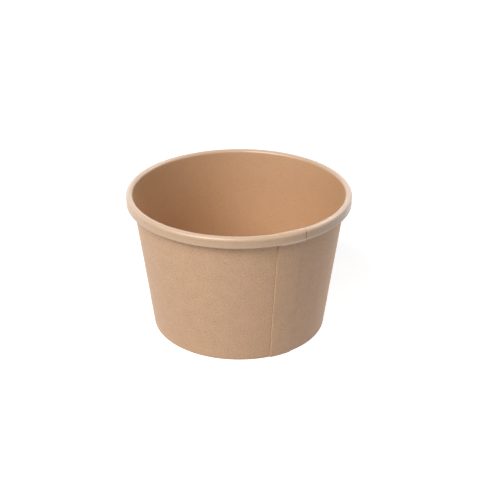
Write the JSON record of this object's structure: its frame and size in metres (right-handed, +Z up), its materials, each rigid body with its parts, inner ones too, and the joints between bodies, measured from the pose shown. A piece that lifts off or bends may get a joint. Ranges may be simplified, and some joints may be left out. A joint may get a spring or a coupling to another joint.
{
  "type": "paper ice cream tub",
  "caption": "Open round tapered tub of kraft board with a rolled rim, a lapped side seam and a base set up inside a folded hem.",
  "frame": {"origin": "centre of the foot, on the surface that the tub stands on", "axes": "+Z up along the tub's axis, out of its mouth; -Y is the front, and the side seam lies to the right of it"},
  "size_m": [0.095, 0.095, 0.061],
  "materials": {
    "kraft_wall": "unprinted brown kraft board, matt outside and faintly glossy on its lined inside",
    "kraft_base": "unprinted brown kraft board, faintly glossy on its lined upper side"
  },
  "bodies": {
    "root": {"side_wall": "kraft_wall", "base_disc": "kraft_base"}
  },
  "joints": []
}
